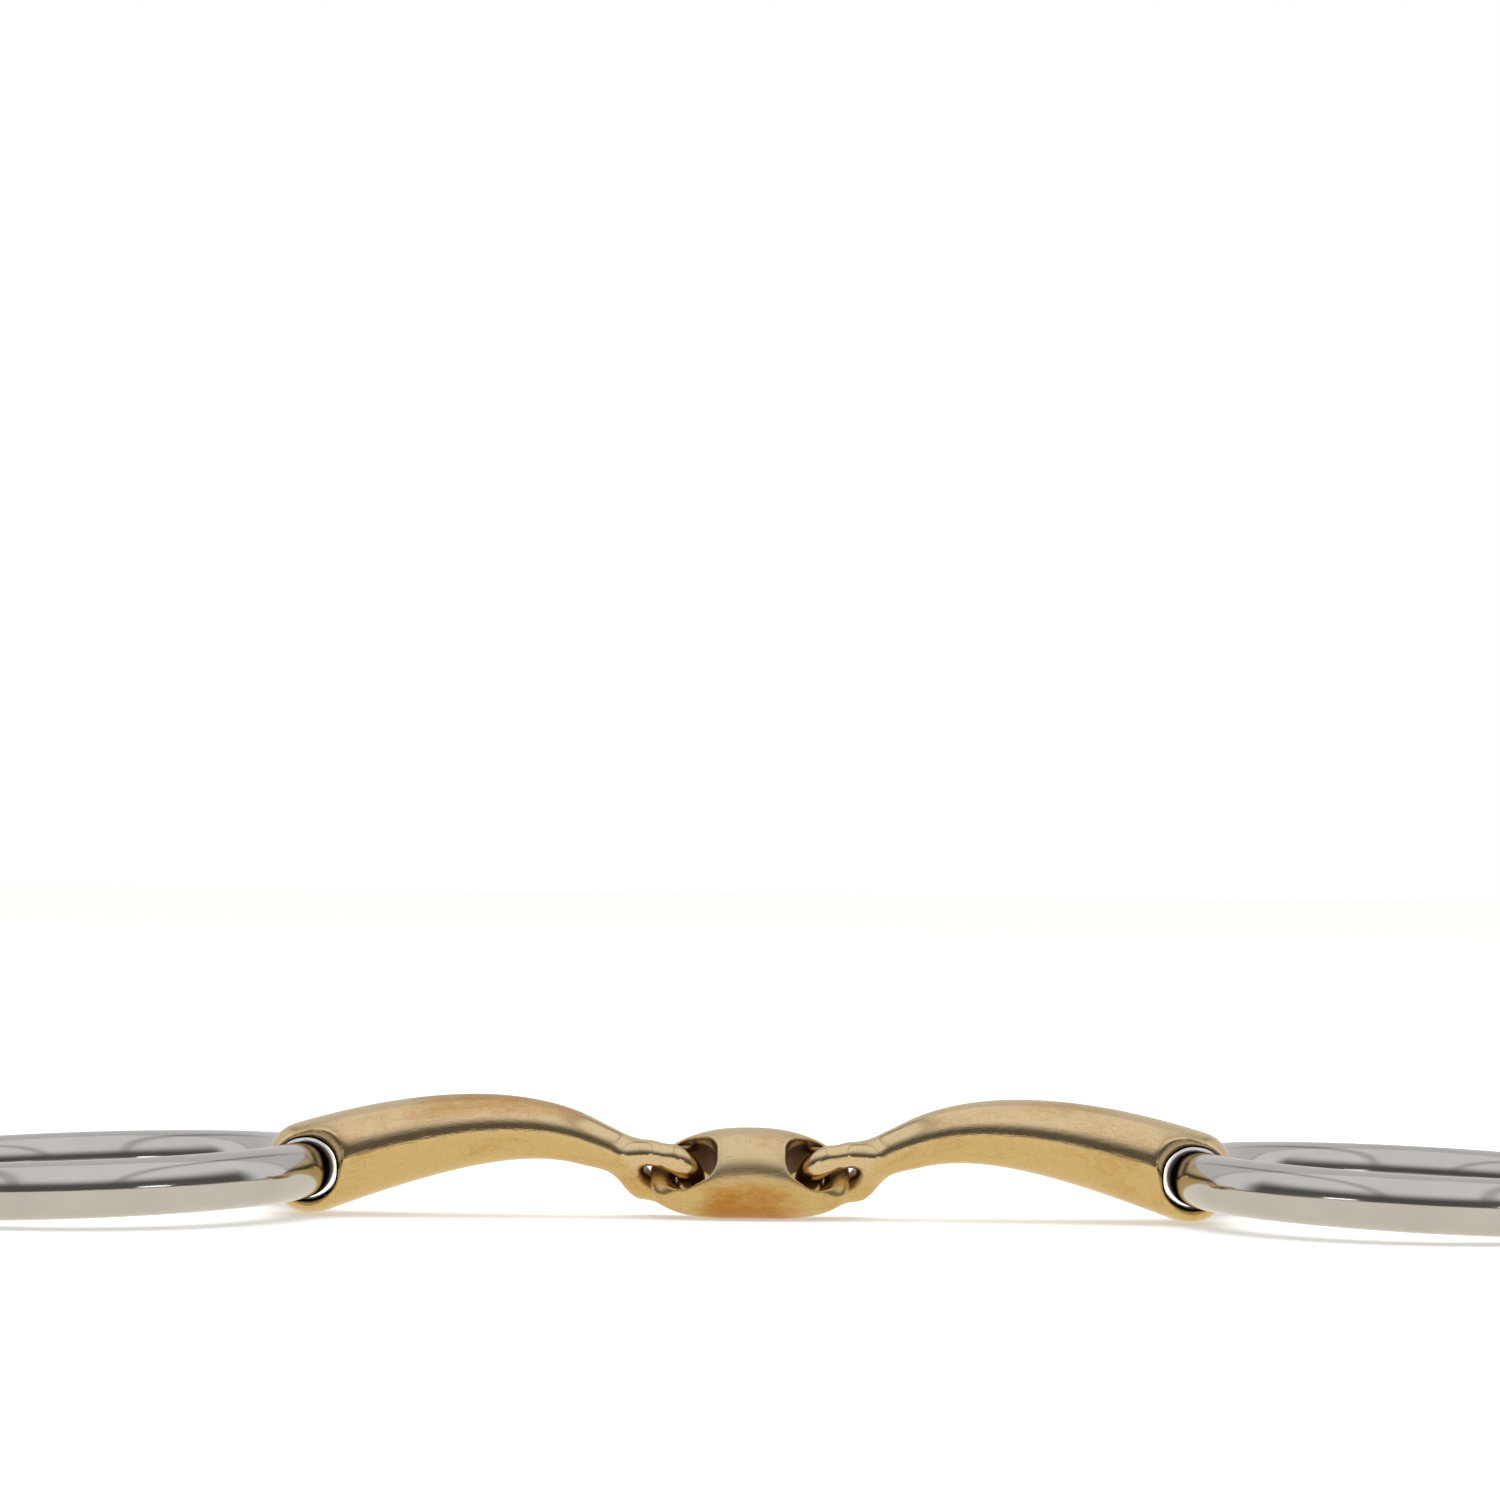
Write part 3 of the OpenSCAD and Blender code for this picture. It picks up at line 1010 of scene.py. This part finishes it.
@dataclass
class Ring:
    """One welded ring of round wire, running through an arm's ring bore."""

    side: Side
    middle_d: float = 70.0
    wire_d: float = 8.6
    lean: float = 2.2

    def build(self) -> bpy.types.Object:
        """Bends the wire round, dresses the weld, and lays the ring down from its bore.

        Returns:
            The finished ring.
        """
        sign = self.side.value
        ring = hoop(f"{self.side.name.lower()}_ring_metal", self.middle_d / 2, self.wire_d / 2, 288, 72)
        self.dress_weld(ring)
        self.mark(ring)
        ring.rotation_euler = (math.pi / 2, 0, 0)
        settle(ring)
        lean = math.radians(self.lean) * sign
        out = self.middle_d / 2 * sign
        ring.matrix_world = (
            Matrix.Translation(Vector(joint_place(f"{self.side.name.lower()}_swing")) * MM)
            @ Matrix.Rotation(lean, 4, "Y") @ Matrix.Translation(Vector((out, 0, 0)) * MM)
        )
        settle(ring)
        bpy.ops.object.shade_smooth()
        return ring

    def dress_weld(self, ring: bpy.types.Object) -> None:
        """Files the weld a hair under the wire's size, at the ring's outer side.

        Args:
            ring: the ring, standing about the origin with its axis along Y.
        """
        pick(ring)
        at = vertices_mm(ring)
        turn = np.degrees(np.arctan2(at[:, 2], at[:, 0] * self.side.value))
        near = np.abs(turn - 14.0) < 1.0
        for vertex, chosen in zip(ring.data.vertices, near):
            vertex.select = bool(chosen)
        middle = tuple(float(c) for c in at[near].mean(axis=0) * MM)
        bpy.ops.object.mode_set(mode="EDIT")
        bpy.ops.mesh.select_mode(type="VERT")
        bpy.ops.transform.resize(value=(0.994, 0.994, 0.994), center_override=middle)
        bpy.ops.object.mode_set(mode="OBJECT")

    def mark(self, ring: bpy.types.Object) -> None:
        """Stores how far round the ring, and where on its wire, each point lies.

        Args:
            ring: the ring, standing about the origin with its axis along Y.
        """
        at = vertices_mm(ring)
        middle_r = self.middle_d / 2
        reach = np.hypot(at[:, 0], at[:, 2]) - middle_r
        # the two ends of the run meet at the outer side; folding it there leaves no seam
        run = np.abs(np.arctan2(at[:, 2], at[:, 0])) * middle_r
        write_attribute(ring, "straight", np.stack([run, at[:, 1], reach], axis=1) * MM)


# ---------------------------------------------------------------------------------- studio


@dataclass
class Studio:
    """A pale table, a soft light above, and the darker room in front of the bit.

    At the bit the picture is frame_mm wide, and the bit lies drop_mm below its middle.
    """

    frame_mm: float = 228.3105
    distance: float = 900.0
    elevation: float = 4.0
    roll: float = 0.62
    aim_z: float = 6.84
    drop_mm: float = 64.2314
    sensor_mm: float = 36.0

    def build(self) -> None:
        """Sets the table, the lights, the surroundings and the camera."""
        self.table()
        self.lights()
        self.surroundings()
        self.camera()

    def table(self) -> None:
        """Lays the pale table top, and the warm card under the bit that only the metal sees."""
        white, cream = ("f4f3f1", "f4f3f1"), ("000000", "f7efdf")
        top = self.sheet("table_top", (3.0, 2.6), (0.0, 0.85, 0.0), "matt_white_laminate", white, 0.35)
        card = self.sheet("warm_card", (0.9, 1.0), (0.0, 0.05, -0.0004), "cream_card", cream, 1.0)
        top.visible_glossy = False
        card.visible_camera = card.visible_diffuse = card.visible_shadow = False

    def sheet(
        self, name: str, size: tuple[float, float], place: tuple[float, float, float],
        finish: str, colours: tuple[str, str], glow: float,
    ) -> bpy.types.Object:
        """Lays one flat sheet.

        Args:
            name: the sheet's name.
            size: its width and depth in metres.
            place: its middle.
            finish: its material's name.
            colours: the colour that it is lit in and the one that it shines in, in hex.
            glow: how brightly it shines by itself.

        Returns:
            The sheet.
        """
        release_all()
        bpy.ops.mesh.primitive_plane_add(size=1)
        sheet = bpy.context.object
        sheet.name = name
        sheet.scale = (*size, 1.0)
        sheet.location = place
        settle(sheet)
        material = bpy.data.materials.new(finish)
        material.use_nodes = True
        shader = material.node_tree.nodes["Principled BSDF"]
        shader.inputs["Base Color"].default_value = linear_colour(colours[0])
        shader.inputs["Roughness"].default_value = 0.85
        shader.inputs["Emission Color"].default_value = linear_colour(colours[1])
        shader.inputs["Emission Strength"].default_value = glow
        sheet.data.materials.append(material)
        return sheet

    def lights(self) -> None:
        """Hangs a weak soft box above for the table, and small bright lamps low in front."""
        soft = self.lamp("soft_box", (0.0, 0.1, 0.9), (1.2, 0.8), 5.0, (0, 0, 0))
        soft.visible_glossy = False
        self.lamp("left_lamp", (-1.05, -1.25, 0.12), (0.42, 0.10), 0.35, (0, 0, 0))
        self.lamp("right_lamp", (1.0, -1.3, 0.12), (0.42, 0.10), 0.35, (0, 0, 0))

    def lamp(
        self, name: str, place: tuple[float, float, float], size: tuple[float, float],
        power: float, target: tuple[float, float, float],
    ) -> bpy.types.Object:
        """Adds one rectangular lamp that faces a point.

        Args:
            name: the lamp's name.
            place: where it hangs, in metres.
            size: its width and height in metres.
            power: its power in watts.
            target: the point that it faces.

        Returns:
            The lamp.
        """
        data = bpy.data.lights.new(name, "AREA")
        data.shape = "RECTANGLE"
        data.size, data.size_y = size
        data.energy = power
        lamp = bpy.data.objects.new(name, data)
        bpy.context.collection.objects.link(lamp)
        lamp.location = place
        aim = Vector(target) - Vector(place)
        lamp.rotation_euler = aim.to_track_quat("-Z", "Y").to_euler()
        return lamp

    def surroundings(self) -> None:
        """Paints the room: white behind and above, a dark band low in front."""
        world = bpy.data.worlds.new("room")
        bpy.context.scene.world = world
        world.use_nodes = True
        nodes = NodePlan(world.node_tree)
        way = nodes.add("TexCoord", "Generated")
        x, y, z = (nodes.add("SeparateXYZ", axis, {0: way}) for axis in "XYZ")
        # dark below about 25 degrees, over the half of the room that the bit's near side faces
        low = nodes.span(z, 0.30, 0.74, soft=True)
        behind = nodes.span(y, -0.12, 0.12, soft=True)
        bright = nodes.calc("MAXIMUM", low, behind)
        # the ceiling's light ends to either side in a dark frame, with pale walls beyond it
        aside = nodes.calc("ABSOLUTE", x)
        frame_in = nodes.span(aside, 0.30, 0.35, soft=True)
        frame_out = nodes.span(aside, 0.38, 0.44, soft=True)
        high = nodes.calc("MULTIPLY", nodes.calc("SUBTRACT", frame_in, frame_out), low)
        framed = nodes.calc("MULTIPLY_ADD", high, -0.45, bright)
        rear = nodes.span(y, 0.46, 0.52, last=-0.28, soft=True)
        # a thin dark seam parts the light in front from the white sheet behind
        from_seam = nodes.calc("ABSOLUTE", nodes.calc("SUBTRACT", y, 0.44))
        seam = nodes.span(from_seam, 0.0, 0.06, first=-0.45, last=0.0, soft=True)
        lit = nodes.calc("ADD", nodes.calc("ADD", framed, seam), rear)
        colour = nodes.blend(lit, (0.125, 0.118, 0.11, 1.0), (0.95, 0.93, 0.92, 1.0))
        # the camera sees plain white behind the table
        seen = nodes.blend(nodes.add("LightPath", "Is Camera Ray"), colour, linear_colour("ffffff"))
        glow = nodes.add("Background", "Background", {"Strength": 1.0, "Color": seen})
        nodes.add("OutputWorld", inputs={"Surface": glow})
        bpy.context.scene.view_settings.view_transform = "Standard"

    def camera(self) -> None:
        """Stands the camera low in front of the bit, with the bit in the lower part of the frame."""
        data = bpy.data.cameras.new("camera")
        camera = bpy.data.objects.new("camera", data)
        bpy.context.collection.objects.link(camera)
        data.sensor_width = self.sensor_mm
        data.lens = self.sensor_mm * self.distance / self.frame_mm
        data.clip_start, data.clip_end = 0.05, 20.0
        up = math.radians(self.elevation)
        spot = Vector((0.0, 0.0, self.aim_z))
        eye = spot + self.distance * Vector((0.0, -math.cos(up), math.sin(up)))
        roll = math.radians(self.roll)
        aim = spot + self.drop_mm * Vector((-math.sin(roll), 0.0, math.cos(roll)))
        camera.location = eye * MM
        turn = (aim - eye).to_track_quat("-Z", "Y").to_matrix().to_4x4()
        camera.rotation_euler = (turn @ Matrix.Rotation(roll, 4, "Z")).to_euler()
        bpy.context.scene.camera = camera


def dress(piece: bpy.types.Object, material: bpy.types.Material, node: str) -> None:
    """Gives a piece its finish, lets it ride on its body and stands it in for its CAD node.

    Args:
        piece: the finished piece.
        material: its finish.
        node: the CAD node, which is also the body's name.
    """
    piece.data.materials.clear()
    piece.data.materials.append(material)
    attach(piece, node)
    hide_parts(node)
    log.info("%s: %d faces, stands for %s", piece.name, len(piece.data.polygons), node)


def main() -> None:
    """Builds every piece in order, then the studio, and reports each piece."""
    logging.basicConfig(level=logging.INFO, format="%(message)s", stream=sys.stdout)
    alloy = CastCopperAlloy().make()
    steel = PolishedStainless().make()
    dress(CentreLink().build(), alloy, "centre_link")
    for side in Side:
        name = side.name.lower()
        dress(Arm(side).build(), alloy, f"{name}_arm")
        dress(Ring(side).build(), steel, f"{name}_ring")
    Studio().build()


if __name__ == "__main__":
    main()
